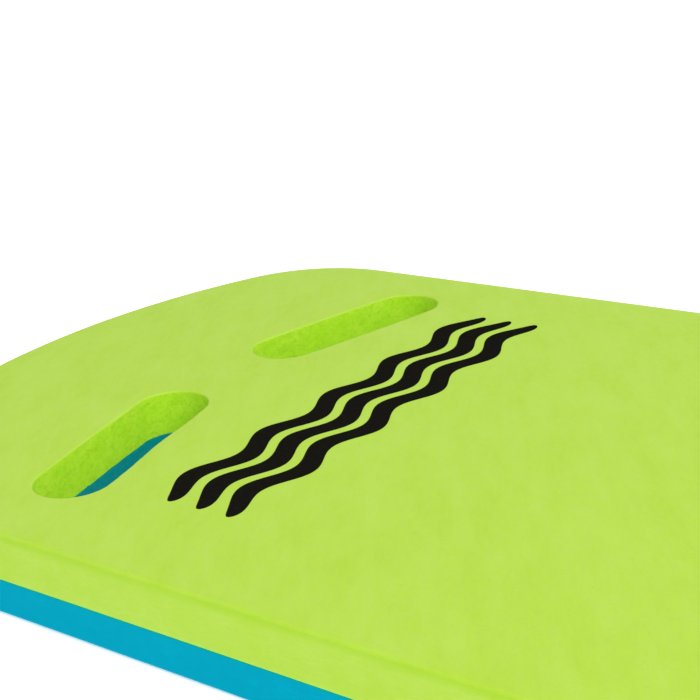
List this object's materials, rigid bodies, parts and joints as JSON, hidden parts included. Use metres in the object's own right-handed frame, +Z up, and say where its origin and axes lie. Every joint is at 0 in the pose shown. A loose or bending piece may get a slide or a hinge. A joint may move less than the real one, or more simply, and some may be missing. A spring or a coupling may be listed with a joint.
{
  "type": "kickboard float",
  "caption": "Swimmer's training kickboard of two bonded foam slabs, with an arched nose, a hollowed tail and slanted hand slots cut right through.",
  "frame": {"origin": "centre of the board's length and width, on the underside that it lies on", "axes": "+Y from the tail to the arched nose, +Z up out of the printed deck, +X across the board to the right of a swimmer who holds it with the nose ahead"},
  "size_m": [0.285, 0.44, 0.0309],
  "materials": {
    "lime_foam": "matt lime-green closed-cell foam skin",
    "blue_foam": "matt cyan-blue closed-cell foam skin",
    "contact_adhesive": "clear amber adhesive film",
    "black_ink": "matt black screen-printing ink"
  },
  "bodies": {
    "root": {"base_foam": "blue_foam", "bond_film": "contact_adhesive", "deck_foam": "lime_foam", "print_wave_upper": "black_ink", "print_wave_middle": "black_ink", "print_wave_lower": "black_ink"}
  },
  "joints": []
}
